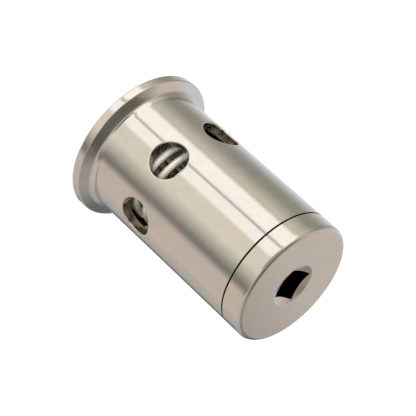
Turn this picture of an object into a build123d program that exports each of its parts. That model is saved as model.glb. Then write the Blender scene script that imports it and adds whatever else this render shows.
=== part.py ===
"""Spring-loaded pressure relief valve with a clamp ferrule inlet and six side outlet ports.

The origin is the centre of the ferrule's mating face. +Z runs along the valve from that face to the
adjusting cap. Lengths are in millimetres and angles in degrees.
"""

import math
import os

from build123d import *

# Clamp ferrule, in the standard size for a 50.5 mm clamp.
FERRULE_R = 25.25
FERRULE_RIM = 2.85
FERRULE_ANGLE = 20.0
FERRULE_EDGE = 0.5
FERRULE_FILLET = 2.0
GASKET_GROOVE_R = 21.8
GASKET_GROOVE_HALF_WIDTH = 1.4

# Barrel.
BODY_R = 21.0
BODY_TOP = 64.8
BORE_R = 18.0
THREAD_BORE_R = 19.0
THREAD_BORE_LOW = 49.0
INLET_R = 12.0
INLET_CHAMFER = 0.8
FLOOR_Z = 7.0
SEAT_Z = 8.0
SEAT_LIP = 1.5
MOUTH_CHAMFER = 0.5
JOINT_CHAMFER = 0.06

# Outlet ports.
PORT_COUNT = 6
PORT_R = 6.0
PORT_Z = 24.9
PORT_EDGE = 0.4
FRONT_AZIMUTH = -90.0

# Adjusting cap.
JOINT_GAP = 0.55
CAP_LOW = BODY_TOP + JOINT_GAP
CAP_TOP = 72.5
CAP_EDGE = 1.5
SPIGOT_R = 18.95
SPIGOT_LOW = 51.02
SPIGOT_CHAMFER = 0.8
RELIEF_R = 18.0
RELIEF_HEIGHT = 2.05
THREAD_PITCH = 1.5
THREAD_DEPTH = 0.85
THREAD_GROOVE_HALF = 0.65
THREAD_CUTTER_EXTRA = 0.2
SOCKET_SIDE = 9.7
SOCKET_CORNER_R = 0.3
SOCKET_DEPTH = 12.0
SOCKET_ANGLE = 23.4
SOCKET_DRILL_R = 4.7
SOCKET_DRILL_POINT = 59.0
COUNTERSINK_R = 7.4
COUNTERSINK_HALF_ANGLE = 71.0
STEM_RECESS_R = 5.5
STEM_RECESS_TOP = 55.7

# Relief spring.
WIRE_R = 1.1
SPRING_R = 14.9
SPRING_PITCH = 4.45
CLOSED_PITCH = 2.25
SPRING_LOW = 13.5
SPRING_HIGH = 46.5
FRONT_COIL_Z = 19.35

# Poppet.
DISC_R = 16.6
DISC_LOW = 9.2
DISC_CHAMFER = 0.4
BOSS_R = 13.4
BOSS_TOP = 16.0
SEAL_R = 14.5
SEAL_TOP = 10.5
SEAL_POCKET_R = 14.6
STEM_R = 4.5
STEM_TOP = 49.5
SPIGOT_STEM_R = 3.75
SPIGOT_STEM_LOW = 8.2
STEM_HOLE_R = 3.77
RETAINER_R = 8.5
RETAINER_LOW = 6.5
WASHER_R = 3.8
WASHER_LOW = 5.6
WASHER_SPLIT = 0.7
WASHER_SPLIT_ANGLE = 20.0
SCREW_R = 2.0
SCREW_HOLE_R = 2.05
SCREW_CLEAR_R = 2.2
SCREW_HEAD_R = 3.8
SCREW_HEAD_HEIGHT = 2.2
SCREW_HEAD_FILLET = 1.4
SCREW_LENGTH = 16.0
SCREW_HOLE_TOP = 24.0
HEX_KEY = 2.5
HEX_DEPTH = 1.3

# Upper spring seat, its bush and the slip washer.
SEAT_FLANGE_R = 17.2
PILOT_LOW = 42.0
HUB_R = 9.0
HUB_LOW = 38.0
BUSH_R = 6.5
BUSH_BORE_R = 4.53
SEAT_TOP = 49.5
EDGE_BREAK = 0.4
SLIP_WASHER_R = 17.0
SLIP_WASHER_BORE_R = 6.8
SLIP_WASHER_TOP = 51.0

# Radii nearer than this count as equal when an edge is picked by its radius.
SAME = 0.01

os.makedirs("parts", exist_ok=True)


def rings(builder, radius):
    """The circular edges of one radius on the part being built, lowest first."""
    circles = builder.part.edges().filter_by(GeomType.CIRCLE)
    return circles.filter_by(lambda e: abs(e.radius - radius) < SAME).sort_by(Axis.Z)


def save(part, name):
    """Label a finished piece and write it as its own file."""
    part.label = name
    export_step(part, f"parts/{name}.step")


# The body's half section: ferrule, conical back, barrel, threaded mouth, main bore, seat and inlet.
cone_z = FERRULE_RIM + (FERRULE_R - BODY_R) * math.tan(math.radians(FERRULE_ANGLE))
with BuildPart() as valve_body:
    with BuildSketch(Plane.XZ):
        with BuildLine():
            Polyline(
                (INLET_R, 0),
                (FERRULE_R, 0),
                (FERRULE_R, FERRULE_RIM),
                (BODY_R, cone_z),
                (BODY_R, BODY_TOP),
                (THREAD_BORE_R, BODY_TOP),
                (THREAD_BORE_R, THREAD_BORE_LOW),
                (BORE_R, THREAD_BORE_LOW - (THREAD_BORE_R - BORE_R)),
                (BORE_R, FLOOR_Z),
                (INLET_R + SEAT_LIP, FLOOR_Z),
                (INLET_R + SEAT_LIP, SEAT_Z),
                (INLET_R, SEAT_Z),
                close=True,
            )
        make_face()
    revolve(axis=Axis.Z)
    fillet(rings(valve_body, BODY_R)[0], FERRULE_FILLET)
    fillet(rings(valve_body, FERRULE_R), FERRULE_EDGE)
    chamfer(rings(valve_body, INLET_R)[0], INLET_CHAMFER)
    chamfer(rings(valve_body, BODY_R)[-1], JOINT_CHAMFER)
    chamfer(rings(valve_body, THREAD_BORE_R)[-1], MOUTH_CHAMFER)
    with BuildSketch(Plane.XZ):
        with Locations((GASKET_GROOVE_R, 0)):
            Circle(GASKET_GROOVE_HALF_WIDTH)
    revolve(axis=Axis.Z, mode=Mode.SUBTRACT)
    for port in range(PORT_COUNT):
        azimuth = math.radians(FRONT_AZIMUTH + 360 * port / PORT_COUNT)
        outward = (math.cos(azimuth), math.sin(azimuth), 0)
        with BuildSketch(Plane(origin=(0, 0, PORT_Z), z_dir=outward)):
            Circle(PORT_R)
        extrude(amount=2 * BODY_R, mode=Mode.SUBTRACT)
    walls = valve_body.faces().filter_by(GeomType.CYLINDER)
    barrel = walls.filter_by(lambda f: abs(f.radius - BODY_R) < SAME)
    curves = barrel.edges().filter_by(lambda e: e.geom_type != GeomType.LINE)
    rims = curves.filter_by(lambda e: abs(e.center().Z - PORT_Z) < PORT_EDGE)
    fillet(rims, PORT_EDGE)
save(valve_body.part, "valve_body")

# The cap: rim the size of the barrel, thread relief, threaded spigot and a blind recess for the stem.
with BuildPart() as adjusting_cap:
    with BuildSketch(Plane.XZ):
        with BuildLine():
            Polyline(
                (STEM_RECESS_R, SPIGOT_LOW),
                (SPIGOT_R, SPIGOT_LOW),
                (SPIGOT_R, CAP_LOW - RELIEF_HEIGHT),
                (RELIEF_R, CAP_LOW - RELIEF_HEIGHT),
                (RELIEF_R, CAP_LOW),
                (BODY_R, CAP_LOW),
                (BODY_R, CAP_TOP),
                (0, CAP_TOP),
                (0, STEM_RECESS_TOP),
                (STEM_RECESS_R, STEM_RECESS_TOP),
                close=True,
            )
        make_face()
    revolve(axis=Axis.Z)
    fillet(rings(adjusting_cap, BODY_R)[-1], CAP_EDGE)
    chamfer(rings(adjusting_cap, BODY_R)[0], JOINT_CHAMFER)
    chamfer(rings(adjusting_cap, SPIGOT_R)[0], SPIGOT_CHAMFER)
    with BuildSketch(Plane.XY.offset(CAP_TOP)):
        Rectangle(SOCKET_SIDE, SOCKET_SIDE, rotation=SOCKET_ANGLE)
        fillet(vertices(), SOCKET_CORNER_R)
    extrude(amount=-SOCKET_DEPTH, mode=Mode.SUBTRACT)
    socket_floor = CAP_TOP - SOCKET_DEPTH
    countersink_depth = COUNTERSINK_R / math.tan(math.radians(COUNTERSINK_HALF_ANGLE))
    with BuildSketch(Plane.XZ):
        with BuildLine():
            drill_corner = (SOCKET_DRILL_R, socket_floor)
            Polyline((0, SOCKET_DRILL_POINT), drill_corner, (0, socket_floor), close=True)
        make_face()
        with BuildLine():
            countersink_point = (0, CAP_TOP - countersink_depth)
            Polyline((0, CAP_TOP), (COUNTERSINK_R, CAP_TOP), countersink_point, close=True)
        make_face()
    revolve(axis=Axis.Z, mode=Mode.SUBTRACT)
    groove_low = SPIGOT_LOW - THREAD_PITCH
    groove_high = CAP_LOW - RELIEF_HEIGHT / 2
    with BuildLine():
        Helix(THREAD_PITCH, groove_high - groove_low, SPIGOT_R, center=(0, 0, groove_low))
    with BuildSketch(Plane.XZ):
        with BuildLine():
            Polyline(
                (SPIGOT_R + THREAD_CUTTER_EXTRA, groove_low - THREAD_GROOVE_HALF),
                (SPIGOT_R + THREAD_CUTTER_EXTRA, groove_low + THREAD_GROOVE_HALF),
                (SPIGOT_R - THREAD_DEPTH, groove_low),
                close=True,
            )
        make_face()
    sweep(is_frenet=True, mode=Mode.SUBTRACT)
save(adjusting_cap.part, "adjusting_cap")

# The spring: a left-hand coil with closed, ground ends. Each stretch is swept from a circle that
# stands in the plane through the axis, so stretches of different pitch meet face to face.
middle_low = SPRING_LOW + CLOSED_PITCH
middle_height = SPRING_HIGH - SPRING_LOW - 2 * CLOSED_PITCH
start_azimuth = FRONT_AZIMUTH + 360 * (FRONT_COIL_Z - middle_low) / SPRING_PITCH
end_azimuth = start_azimuth - 360 * middle_height / SPRING_PITCH
stretches = [
    (CLOSED_PITCH, SPRING_LOW, CLOSED_PITCH, start_azimuth),
    (SPRING_PITCH, middle_low, middle_height, start_azimuth),
    (CLOSED_PITCH, SPRING_HIGH - CLOSED_PITCH, CLOSED_PITCH, end_azimuth),
]
coils = []
for pitch, low, height, azimuth in stretches:
    coil = Helix(pitch, height, SPRING_R, center=(0, 0, low), lefthand=True)
    coils.append(coil.rotate(Axis.Z, azimuth))
with BuildPart() as relief_spring:
    for coil in coils:
        start = coil.position_at(0)
        around = Vector(start.X, start.Y, 0).cross(Vector(0, 0, 1))
        with BuildSketch(Plane(origin=start, x_dir=(0, 0, 1), z_dir=around)):
            Circle(WIRE_R)
        sweep(path=coil, is_frenet=True)
    for ground_z, away in ((SPRING_LOW, -1), (SPRING_HIGH, 1)):
        with BuildSketch(Plane.XY.offset(ground_z)):
            Circle(SPRING_R + 2 * WIRE_R)
        extrude(amount=away * 2 * WIRE_R, mode=Mode.SUBTRACT)
save(relief_spring.part, "relief_spring")

# The poppet's disc, with a pocket for the seal below and a boss that centres the spring above.
with BuildPart() as poppet_disc:
    with BuildSketch(Plane.XZ):
        with BuildLine():
            Polyline(
                (STEM_HOLE_R, SEAL_TOP),
                (SEAL_POCKET_R, SEAL_TOP),
                (SEAL_POCKET_R, DISC_LOW),
                (DISC_R, DISC_LOW),
                (DISC_R, SPRING_LOW),
                (BOSS_R, SPRING_LOW),
                (BOSS_R, BOSS_TOP),
                (STEM_HOLE_R, BOSS_TOP),
                close=True,
            )
        make_face()
    revolve(axis=Axis.Z)
    chamfer(rings(poppet_disc, DISC_R), DISC_CHAMFER)
    chamfer(rings(poppet_disc, BOSS_R)[-1], DISC_CHAMFER)
save(poppet_disc.part, "poppet_disc")

# The stem: a spigot through disc and seal, a shoulder on the boss and a tapped hole for the screw.
with BuildPart() as poppet_stem:
    with BuildSketch(Plane.XZ):
        with BuildLine():
            Polyline(
                (0, SPIGOT_STEM_LOW),
                (SPIGOT_STEM_R, SPIGOT_STEM_LOW),
                (SPIGOT_STEM_R, BOSS_TOP),
                (STEM_R, BOSS_TOP),
                (STEM_R, STEM_TOP),
                (0, STEM_TOP),
                close=True,
            )
        make_face()
    revolve(axis=Axis.Z)
    chamfer(rings(poppet_stem, STEM_R)[-1], EDGE_BREAK)
    with BuildSketch(Plane.XY.offset(SPIGOT_STEM_LOW)):
        Circle(SCREW_HOLE_R)
    extrude(amount=SCREW_HOLE_TOP - SPIGOT_STEM_LOW, mode=Mode.SUBTRACT)
save(poppet_stem.part, "poppet_stem")

# The seal: a flat elastomer ring in the disc's pocket, resting on the seat's lip.
with BuildPart() as poppet_seal:
    with BuildSketch(Plane.XY.offset(SEAT_Z)):
        Circle(SEAL_R)
        Circle(STEM_HOLE_R, mode=Mode.SUBTRACT)
    extrude(amount=SEAL_TOP - SEAT_Z)
save(poppet_seal.part, "poppet_seal")

# The washer that clamps the seal.
with BuildPart() as seal_retainer:
    with BuildSketch(Plane.XY.offset(RETAINER_LOW)):
        Circle(RETAINER_R)
        Circle(SCREW_CLEAR_R, mode=Mode.SUBTRACT)
    extrude(amount=SEAT_Z - RETAINER_LOW)
    chamfer(rings(seal_retainer, RETAINER_R)[0], EDGE_BREAK)
save(seal_retainer.part, "seal_retainer")

# The split lock washer.
with BuildPart() as lock_washer:
    with BuildSketch(Plane.XY.offset(WASHER_LOW)):
        Circle(WASHER_R)
        Circle(SCREW_CLEAR_R, mode=Mode.SUBTRACT)
        with Locations((WASHER_R, 0)):
            Rectangle(2 * WASHER_R, WASHER_SPLIT, rotation=WASHER_SPLIT_ANGLE, mode=Mode.SUBTRACT)
    extrude(amount=RETAINER_LOW - WASHER_LOW)
save(lock_washer.part, "lock_washer")

# The button head screw, with a hexagon socket in its head.
with BuildPart() as retainer_screw:
    with BuildSketch(Plane.XY.offset(WASHER_LOW)):
        Circle(SCREW_HEAD_R)
    extrude(amount=-SCREW_HEAD_HEIGHT)
    fillet(rings(retainer_screw, SCREW_HEAD_R)[0], SCREW_HEAD_FILLET)
    with BuildSketch(Plane.XY.offset(WASHER_LOW)):
        Circle(SCREW_R)
    extrude(amount=SCREW_LENGTH)
    chamfer(rings(retainer_screw, SCREW_R)[-1], EDGE_BREAK)
    with BuildSketch(Plane.XY.offset(WASHER_LOW - SCREW_HEAD_HEIGHT)):
        RegularPolygon(HEX_KEY / 2, 6, major_radius=False)
    extrude(amount=HEX_DEPTH, mode=Mode.SUBTRACT)
save(retainer_screw.part, "retainer_screw")

# The upper spring seat: flange, pilot inside the spring and a hub for the bush.
with BuildPart() as upper_spring_seat:
    with BuildSketch(Plane.XZ):
        with BuildLine():
            Polyline(
                (BUSH_R, HUB_LOW),
                (HUB_R, HUB_LOW),
                (HUB_R, PILOT_LOW),
                (BOSS_R, PILOT_LOW),
                (BOSS_R, SPRING_HIGH),
                (SEAT_FLANGE_R, SPRING_HIGH),
                (SEAT_FLANGE_R, SEAT_TOP),
                (BUSH_R, SEAT_TOP),
                close=True,
            )
        make_face()
    revolve(axis=Axis.Z)
    chamfer(rings(upper_spring_seat, SEAT_FLANGE_R), EDGE_BREAK)
    chamfer(rings(upper_spring_seat, BOSS_R)[0], EDGE_BREAK)
save(upper_spring_seat.part, "upper_spring_seat")

# The bush that the stem slides in.
with BuildPart() as stem_bush:
    with BuildSketch(Plane.XY.offset(HUB_LOW)):
        Circle(BUSH_R)
        Circle(BUSH_BORE_R, mode=Mode.SUBTRACT)
    extrude(amount=SEAT_TOP - HUB_LOW)
save(stem_bush.part, "stem_bush")

# The slip washer that the cap turns on.
with BuildPart() as thrust_washer:
    with BuildSketch(Plane.XY.offset(SEAT_TOP)):
        Circle(SLIP_WASHER_R)
        Circle(SLIP_WASHER_BORE_R, mode=Mode.SUBTRACT)
    extrude(amount=SLIP_WASHER_TOP - SEAT_TOP)
save(thrust_washer.part, "thrust_washer")
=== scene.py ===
"""The looks of a small spring-loaded relief valve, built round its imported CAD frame. Metres, +Z up."""

import math

import bpy
from mathutils import Matrix, Vector


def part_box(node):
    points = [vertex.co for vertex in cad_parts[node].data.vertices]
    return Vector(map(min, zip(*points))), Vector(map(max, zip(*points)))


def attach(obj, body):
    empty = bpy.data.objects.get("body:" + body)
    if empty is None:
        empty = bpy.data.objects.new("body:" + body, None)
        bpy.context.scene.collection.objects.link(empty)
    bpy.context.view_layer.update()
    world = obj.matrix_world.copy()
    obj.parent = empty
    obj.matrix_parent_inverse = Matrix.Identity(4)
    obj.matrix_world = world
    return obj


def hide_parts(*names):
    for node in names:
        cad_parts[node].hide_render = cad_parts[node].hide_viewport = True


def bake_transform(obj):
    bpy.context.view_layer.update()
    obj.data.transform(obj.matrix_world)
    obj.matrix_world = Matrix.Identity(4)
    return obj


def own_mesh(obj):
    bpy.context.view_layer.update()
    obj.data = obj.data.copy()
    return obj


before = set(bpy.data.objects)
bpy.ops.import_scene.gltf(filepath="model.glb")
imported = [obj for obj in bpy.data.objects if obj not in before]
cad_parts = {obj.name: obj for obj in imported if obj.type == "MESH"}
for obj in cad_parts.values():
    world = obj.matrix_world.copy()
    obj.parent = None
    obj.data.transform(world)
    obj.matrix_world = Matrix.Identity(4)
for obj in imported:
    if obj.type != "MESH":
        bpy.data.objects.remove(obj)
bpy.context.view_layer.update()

MM = 0.001
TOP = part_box("adjusting_cap")[1].z
BODY_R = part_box("adjusting_cap")[1].x

# Where the materials change: the rougher inside of the body, darkened with painted shade, starts this far
# under the barrel's skin and above the mating face, and the painted shade inside the key socket this far in
# from its countersink and the face.
SKIN_DEPTH = (0.6 * MM, 0.35 * MM)
MATING_DEPTH = (1.5 * MM, 2.0 * MM)
# How far in and down the key socket's painted shade reaches.
SOCKET_SHADE_R = (7.0 * MM, 7.6 * MM)
SOCKET_SHADE_DEPTH = (3.2 * MM, 2.2 * MM)

# The view: the optical axis passes through the valve's own axis at AIM_Z.
CAMERA_AZIMUTH = 7.18
CAMERA_ELEVATION = 29.0
CAMERA_ROLL = 132.47
CAMERA_DISTANCE = 0.5362
CAMERA_LENS = 153.96
SENSOR_WIDTH = 36.0
AIM_Z = 0.0342


def add_camera():
    """The camera looks down at the side and the cap, and is rolled so that the cap points down and right."""
    azimuth = math.radians(CAMERA_AZIMUTH)
    elevation = math.radians(CAMERA_ELEVATION)
    forward = Vector((-math.sin(azimuth), math.cos(azimuth), 0)) * math.cos(elevation)
    forward.z = -math.sin(elevation)
    data = bpy.data.cameras.new("camera")
    data.lens = CAMERA_LENS
    data.sensor_width = SENSOR_WIDTH
    data.clip_start = 0.01
    camera = bpy.data.objects.new("camera", data)
    bpy.context.scene.collection.objects.link(camera)
    level = forward.to_track_quat("-Z", "Y")
    roll = Matrix.Rotation(math.radians(-CAMERA_ROLL), 4, forward)
    place = Matrix.Translation(Vector((0, 0, AIM_Z)) - forward * CAMERA_DISTANCE)
    camera.matrix_world = place @ roll @ level.to_matrix().to_4x4()
    bpy.context.scene.camera = camera


add_camera()


# ---------------------------------------------------------------- node helpers


class Graph:
    """A node tree, with small helpers that add nodes and wire them up."""

    def __init__(self, tree):
        self.nodes = tree.nodes
        self.links = tree.links

    def put(self, value, socket):
        """Set a socket to a number or colour, or link it to another node's output."""
        if isinstance(value, (int, float)):
            socket.default_value = value
        elif isinstance(value, tuple):
            socket.default_value = (*value, 1) if len(value) == 3 else value
        else:
            self.links.new(value, socket)

    def split(self, vector):
        node = self.nodes.new("ShaderNodeSeparateXYZ")
        self.links.new(vector, node.inputs[0])
        return node.outputs[:3]

    def math(self, operation, *values):
        node = self.nodes.new("ShaderNodeMath")
        node.operation = operation
        for socket, value in zip(node.inputs, values):
            self.put(value, socket)
        return node.outputs[0]

    def span(self, value, low, high, from_low=0.3, from_high=0.7, smooth=False):
        """A value stretched from one range to another, and held at its ends."""
        node = self.nodes.new("ShaderNodeMapRange")
        node.interpolation_type = "SMOOTHSTEP" if smooth else "LINEAR"
        self.put(value, node.inputs["Value"])
        node.inputs["From Min"].default_value = from_low
        node.inputs["From Max"].default_value = from_high
        node.inputs["To Min"].default_value = low
        node.inputs["To Max"].default_value = high
        return node.outputs[0]

    def mix(self, share, first, second):
        node = self.nodes.new("ShaderNodeMix")
        node.data_type = "RGBA"
        self.put(share, node.inputs["Factor"])
        self.put(first, node.inputs["A"])
        self.put(second, node.inputs["B"])
        return node.outputs["Result"]

    def times(self, first, second):
        """Two colours multiplied channel by channel."""
        node = self.nodes.new("ShaderNodeVectorMath")
        node.operation = "MULTIPLY"
        self.put(first, node.inputs[0])
        self.put(second, node.inputs[1])
        return node.outputs[0]

    def ramp(self, share, stops, low, high):
        """Colours by a 0-1 share that stands for low to high, given as (value, colour) stops."""
        node = self.nodes.new("ShaderNodeValToRGB")
        elements = node.color_ramp.elements
        elements.remove(elements[1])
        for value, colour in stops:
            elements.new((value - low) / (high - low)).color = colour
        elements.remove(elements[0])
        self.put(share, node.inputs[0])
        return node.outputs[0]


# ---------------------------------------------------------------- studio light

STEEL = (0.66, 0.64, 0.61)


# Tints of light.
WHITE = (1.0, 0.98, 0.93)
CREAM = (1.0, 0.93, 0.8)
WARM = (1.0, 0.87, 0.78)
DUSK = (1.0, 0.97, 0.86)
GREY = (1.0, 1.0, 1.0)
DAYLIGHT = (1.0, 1.05, 1.1)

# The light tent's panels, going round: first and last azimuth in degrees, brightness and tint. Between
# two panels the light changes evenly.
PANELS = (
    (-180, -178, 0.45, DUSK),
    (-155, -149, 0.8, CREAM),
    (-143, -119, 1.4, WHITE),
    (-115, -114, 0.6, CREAM),
    (-112, -95, 1.35, WHITE),
    (-90, -62, 1.0, CREAM),
    (-31, -25, 0.3, DUSK),
    (-14, 26, 0.75, WARM),
    (60, 62, 0.5, GREY),
    (74, 86, 0.2, GREY),
    (90, 124, 0.8, DAYLIGHT),
    (160, 180, 0.4, DUSK),
)

# The dome above the tent: elevation in degrees, brightness and tint; and its evenness by azimuth.
DOME = ((52, 0.7, WARM), (66, 0.22, DUSK))
DOME_SIDES = ((-160, 1.0), (-60, 1.2), (0, 0.85), (65, 0.7), (100, 0.8), (130, 1.15), (170, 0.95))
# Between these two elevations the tent gives way to the dome.
TENT_TOP, DOME_LOW = 28, 48
# A dark corner of the room. For its azimuth and its elevation: the middle, how far from it the dark is
# full and how far from it there is none.
SHADOW = 0.04
SHADOW_AZIMUTH = (-92, 12, 30)
SHADOW_ELEVATION = (33, 3, 14)


def light(brightness, tint=GREY):
    """A colour stop for light of this brightness and tint."""
    return (*(brightness * share for share in tint), 1)


def light_world():
    """A plain white room, in which polished metal sees a light tent, a dome and a dark corner."""
    world = bpy.data.worlds.new("studio")
    bpy.context.scene.world = world
    world.use_nodes = True
    world.cycles.sampling_method = "NONE"
    world.node_tree.nodes.clear()
    g = Graph(world.node_tree)
    direction = g.nodes.new("ShaderNodeTexCoord").outputs["Generated"]
    x, y, z = g.split(direction)
    turn = g.math("MULTIPLY", g.math("ARCTAN2", y, x), 180 / math.pi)
    around = g.span(turn, 0, 1, -180, 180)
    climb = g.math("MULTIPLY", g.math("ARCSINE", z), 180 / math.pi)
    up = g.span(climb, 0, 1, -90, 90)
    edges = [(edge, light(value, tint)) for first, last, value, tint in PANELS for edge in (first, last)]
    tent = g.ramp(around, edges, -180, 180)
    heights = [(height, light(value, tint)) for height, value, tint in DOME]
    sides = [(side, light(value)) for side, value in DOME_SIDES]
    dome = g.times(g.ramp(up, heights, -90, 90), g.ramp(around, sides, -180, 180))
    room_light = g.mix(g.span(climb, 0, 1, TENT_TOP, DOME_LOW, smooth=True), tent, dome)
    dark = 1.0
    for angle, (middle, full, none) in ((turn, SHADOW_AZIMUTH), (climb, SHADOW_ELEVATION)):
        off = g.math("ABSOLUTE", g.math("SUBTRACT", angle, middle))
        dark = g.math("MULTIPLY", dark, g.span(off, 1, 0, full, none, smooth=True))
    room_light = g.mix(dark, room_light, light(SHADOW))
    seen = g.nodes.new("ShaderNodeBackground")
    g.links.new(room_light, seen.inputs["Color"])
    room = g.nodes.new("ShaderNodeBackground")
    room.inputs["Color"].default_value = (1, 1, 1, 1)
    room.inputs["Strength"].default_value = 0.95
    path = g.nodes.new("ShaderNodeLightPath")
    choose = g.nodes.new("ShaderNodeMixShader")
    g.links.new(path.outputs["Is Glossy Ray"], choose.inputs[0])
    g.links.new(room.outputs[0], choose.inputs[1])
    g.links.new(seen.outputs[0], choose.inputs[2])
    g.links.new(choose.outputs[0], g.nodes.new("ShaderNodeOutputWorld").inputs[0])


def add_area(name, place, size, power):
    """A soft area light aimed at the valve. Polished metal sees the tent in its place."""
    data = bpy.data.lights.new(name, "AREA")
    data.shape = "DISK"
    data.size = size
    data.energy = power
    light = bpy.data.objects.new(name, data)
    light.location = place
    light.rotation_euler = (Vector((0, 0, TOP / 2)) - Vector(place)).to_track_quat("-Z", "Y").to_euler()
    light.visible_glossy = False
    bpy.context.scene.collection.objects.link(light)


def add_floor():
    """A wide pale floor at the mating face, which the polished metal doesn't mirror."""
    mesh = bpy.data.meshes.new("floor")
    half, drop = 3.0, 0.0001
    corners = [(-half, -half), (half, -half), (half, half), (-half, half)]
    mesh.from_pydata([(x, y, -drop) for x, y in corners], [], [(0, 1, 2, 3)])
    floor = bpy.data.objects.new("floor", mesh)
    bpy.context.scene.collection.objects.link(floor)
    material = bpy.data.materials.new("pale_floor")
    material.use_nodes = True
    shader = material.node_tree.nodes["Principled BSDF"]
    shader.inputs["Base Color"].default_value = (0.93, 0.93, 0.93, 1)
    shader.inputs["Roughness"].default_value = 1.0
    shader.inputs["Specular IOR Level"].default_value = 0.0
    mesh.materials.append(material)
    floor.visible_glossy = False


bpy.context.scene.view_settings.view_transform = "Standard"
light_world()
add_floor()
add_area("key", (-0.45, -0.5, 0.75), 0.5, 6.0)
add_area("fill", (0.6, 0.35, 0.6), 0.6, 3.0)
add_area("front", (0.15, -0.7, 0.25), 0.3, 2.5)


# ---------------------------------------------------------------- materials


class Surface(Graph):
    """A procedural material: a Principled shader, and patterns laid out in the valve's own frame."""

    def __init__(self, name):
        self.material = bpy.data.materials.new(name)
        self.material.use_nodes = True
        super().__init__(self.material.node_tree)
        self.shader = self.nodes["Principled BSDF"]
        self.place = self.nodes.new("ShaderNodeTexCoord").outputs["Object"]
        self.x, y, self.z = self.split(self.place)
        squares = self.math("ADD", self.math("MULTIPLY", self.x, self.x), self.math("MULTIPLY", y, y))
        self.radius = self.math("SQRT", squares)

    def set(self, name, value):
        self.put(value, self.shader.inputs[name])

    def rings(self, per_metre, detail=3.0):
        """Noise that changes only along the turned profile: rings on any face."""
        noise = self.nodes.new("ShaderNodeTexNoise")
        noise.noise_dimensions = "1D"
        noise.inputs["Scale"].default_value = per_metre
        noise.inputs["Detail"].default_value = detail
        self.links.new(self.math("ADD", self.radius, self.z), noise.inputs["W"])
        return noise.outputs["Fac"]

    def clouds(self, per_metre, detail=4.0, roughness=0.55):
        """Noise that changes every way."""
        noise = self.nodes.new("ShaderNodeTexNoise")
        noise.inputs["Scale"].default_value = per_metre
        noise.inputs["Detail"].default_value = detail
        noise.inputs["Roughness"].default_value = roughness
        self.links.new(self.place, noise.inputs["Vector"])
        return noise.outputs["Fac"]

    def bump(self, height, depth, strength=1.0, after=None):
        node = self.nodes.new("ShaderNodeBump")
        node.inputs["Distance"].default_value = depth
        node.inputs["Strength"].default_value = strength
        self.put(height, node.inputs["Height"])
        if after is not None:
            self.links.new(after, node.inputs["Normal"])
        self.links.new(node.outputs[0], self.shader.inputs["Normal"])
        return node.outputs[0]

    def uneven(self, colour, share):
        """A colour that wanders up and down by a share."""
        dark = tuple(c * (1 - share) for c in colour)
        light = tuple(c * (1 + share) for c in colour)
        return self.mix(self.span(self.clouds(320), 0, 1), dark, light)

    def stains_and_shade(self, colour):
        """Bare steel with broad faint stains, some warmer and some greyer than the metal."""
        warm = tuple(c * share for c, share in zip(colour, (1.03, 1.0, 0.96)))
        grey = tuple(c * share for c, share in zip(colour, (0.97, 0.98, 1.0)))
        blotch = self.mix(self.span(self.clouds(70, 6.0, 0.65), 0, 1, 0.38, 0.62), warm, grey)
        fine = self.span(self.clouds(420), 0.97, 1.03)
        node = self.nodes.new("ShaderNodeVectorMath")
        node.operation = "SCALE"
        self.put(blotch, node.inputs[0])
        self.put(fine, node.inputs["Scale"])
        return node.outputs[0]

    def worn(self, roughness, share=0.4):
        """A roughness that changes with the tool's rings and with wear."""
        low, high = roughness * (1 - share), roughness * (1 + share)
        pattern = self.math("ADD", self.rings(5200), self.clouds(900))
        return self.span(pattern, low, high, 0.7, 1.3)


def turned_steel(name, colour, roughness, ring_depth):
    """Turned stainless steel: rings from the tool, faint stains and uneven polish."""
    s = Surface(name)
    s.set("Metallic", 1.0)
    s.set("Base Color", s.uneven(colour, 0.03))
    s.set("Roughness", s.worn(roughness))
    s.bump(s.rings(9000, 2.0), ring_depth)
    return s.material


def body_metal():
    """The body: bright and fine turned outside; rougher inside the ports and the bore, and darkened there
    with painted shade.
    """
    s = Surface("body_steel")
    within = s.span(s.radius, 1, 0, *(BODY_R - depth for depth in SKIN_DEPTH))
    inside = s.math("MULTIPLY", within, s.span(s.z, 0, 1, *MATING_DEPTH))
    s.set("Metallic", 1.0)
    # Inside the ports and the bore the colour is painted shade, a dark brown in place of the steel's own
    # colour; the higher roughness there is the rougher finish.
    s.set("Base Color", s.mix(inside, s.stains_and_shade(STEEL), s.uneven((0.30, 0.26, 0.20), 0.12)))
    s.set("Roughness", s.mix(inside, s.worn(0.08), s.worn(0.22, 0.25)))
    s.bump(s.rings(9000, 2.0), 0.6e-6)
    return s.material


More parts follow.
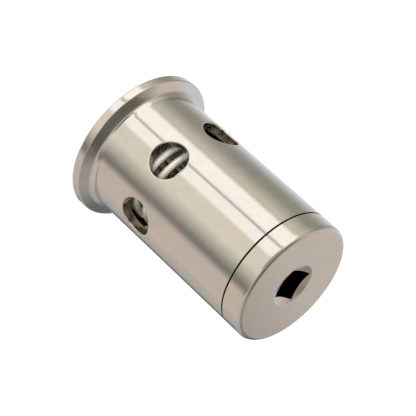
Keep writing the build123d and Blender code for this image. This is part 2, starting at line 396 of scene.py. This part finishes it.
def cap_metal():
    """The cap: a rim like the barrel's; a dull mottled face, darkened towards +X with painted shade; and a
    key socket painted near black inside as shade.
    """
    s = Surface("cap_steel")
    normal = s.nodes.new("ShaderNodeNewGeometry").outputs["Normal"]
    face = s.span(s.split(normal)[2], 0, 1, 0.86, 0.97)
    mottle = s.clouds(520, 6.0, 0.65)
    spots = s.span(mottle, 0, 1, 0.35, 0.65)
    # Painted shade across the face: lit colours towards -X, shaded colours towards +X, each with random
    # mottle.
    lit_face_colours = s.mix(spots, (0.65, 0.56, 0.48), (0.79, 0.69, 0.6))
    stains_and_shade = s.mix(spots, (0.5, 0.42, 0.36), (0.6, 0.52, 0.44))
    dull = s.mix(s.span(s.x, 0, 1, -0.1 * BODY_R, BODY_R), lit_face_colours, stains_and_shade)
    steel = s.mix(face, s.stains_and_shade(STEEL), dull)
    # Painted shade: inside the key socket, below the countersink, the colour goes near black.
    deep = s.span(s.z, 1, 0, *(TOP - depth for depth in SOCKET_SHADE_DEPTH))
    socket = s.math("MULTIPLY", deep, s.span(s.radius, 1, 0, *SOCKET_SHADE_R))
    s.set("Metallic", 1.0)
    s.set("Base Color", s.mix(socket, steel, (0.03, 0.028, 0.022)))
    s.set("Roughness", s.mix(face, s.worn(0.08), s.span(mottle, 0.34, 0.46, 0.35, 0.65)))
    fine = s.bump(s.rings(9000, 2.0), 0.6e-6)
    s.bump(s.clouds(3500, 5.0, 0.7), 5e-6, 0.5, after=fine)
    return s.material


def wire_metal():
    """Drawn spring wire: satin, with marks of its drawing die."""
    s = Surface("wire_steel")
    s.set("Metallic", 0.5)
    s.set("Base Color", s.uneven((0.82, 0.77, 0.67), 0.05))
    s.set("Roughness", s.span(s.clouds(1400), 0.36, 0.44))
    s.bump(s.clouds(3200, 3.0, 0.6), 2e-6)
    return s.material


def moulded(name, colour, roughness, grain):
    """Elastomer or plastic with a fine moulded grain."""
    s = Surface(name)
    s.set("Base Color", s.uneven(colour, 0.06))
    s.set("Roughness", s.span(s.clouds(1500), roughness - 0.06, roughness + 0.06))
    s.bump(s.clouds(5000, 5.0, 0.6), grain)
    return s.material


def dress(node, material):
    """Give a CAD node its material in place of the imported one."""
    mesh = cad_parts[node].data
    if not mesh.materials:
        mesh.materials.append(material)
    for slot in range(len(mesh.materials)):
        mesh.materials[slot] = material


inner_steel = turned_steel("inner_steel", (0.60, 0.58, 0.55), 0.24, 2e-6)
wire_steel = wire_metal()
slip_plastic = moulded("white_slip_plastic", (0.78, 0.77, 0.73), 0.42, 2e-6)

dress("valve_body", body_metal())
dress("adjusting_cap", cap_metal())
for inner in ("poppet_disc", "poppet_stem", "seal_retainer", "retainer_screw", "upper_spring_seat"):
    dress(inner, inner_steel)
dress("lock_washer", wire_steel)
dress("poppet_seal", moulded("black_rubber", (0.025, 0.025, 0.027), 0.55, 4e-6))
dress("stem_bush", slip_plastic)
dress("thrust_washer", slip_plastic)


# ---------------------------------------------------------------- the spring

WIRE_R = 1.1 * MM
COIL_R = 14.9 * MM
COIL_PITCH = 4.45 * MM
CLOSED_PITCH = 2.25 * MM
SPRING_LOW = 13.5 * MM
SPRING_HIGH = 46.5 * MM
FRONT_COIL_Z = 19.35 * MM
FRONT_AZIMUTH = math.radians(-90)
SPLIT_Z = 33.0 * MM
STEPS_PER_TURN = 96
WIRE_SIDES = 24


def coil_angle(z):
    """The azimuth of a left-hand coil whose end turns are closed, at a height of the wire's centre."""
    middle_low = SPRING_LOW + CLOSED_PITCH
    middle_high = SPRING_HIGH - CLOSED_PITCH
    start = FRONT_AZIMUTH + 2 * math.pi * (FRONT_COIL_Z - middle_low) / COIL_PITCH
    closed = min(z - middle_low, 0) + max(z - middle_high, 0)
    middle = min(max(z, middle_low), middle_high) - middle_low
    return start - 2 * math.pi * (middle / COIL_PITCH + closed / CLOSED_PITCH)


def wire_piece(name, low, high):
    """A stretch of the spring's wire between two heights, ground flat at the spring's own ends."""
    span = abs(coil_angle(high) - coil_angle(low))
    steps = max(8, round(span / (2 * math.pi) * STEPS_PER_TURN))
    vertices, faces = [], []
    for step in range(steps + 1):
        z = low + (high - low) * step / steps
        angle = coil_angle(z)
        for side in range(WIRE_SIDES):
            turn = 2 * math.pi * side / WIRE_SIDES
            radius = COIL_R + WIRE_R * math.cos(turn)
            height = min(max(z + WIRE_R * math.sin(turn), SPRING_LOW), SPRING_HIGH)
            vertices.append((radius * math.cos(angle), radius * math.sin(angle), height))
    for step in range(steps):
        for side in range(WIRE_SIDES):
            a = step * WIRE_SIDES + side
            b = step * WIRE_SIDES + (side + 1) % WIRE_SIDES
            faces.append((a, a + WIRE_SIDES, b + WIRE_SIDES, b))
    faces.append(tuple(range(WIRE_SIDES)))
    last = steps * WIRE_SIDES
    faces.append(tuple(last + side for side in reversed(range(WIRE_SIDES))))
    mesh = bpy.data.meshes.new(name)
    mesh.from_pydata(vertices, [], faces)
    mesh.validate()
    for polygon in mesh.polygons:
        polygon.use_smooth = len(polygon.vertices) == 4
    mesh.materials.append(wire_steel)
    piece = bpy.data.objects.new(name, mesh)
    bpy.context.scene.collection.objects.link(piece)
    return piece


lower_coils = wire_piece("relief_spring_lower_coils", SPRING_LOW, SPLIT_Z)
upper_coils = wire_piece("relief_spring_upper_coils", SPLIT_Z, SPRING_HIGH)
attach(lower_coils, "valve_body")
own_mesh(lower_coils)
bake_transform(upper_coils)
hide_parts("relief_spring")
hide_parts("relief_spring")
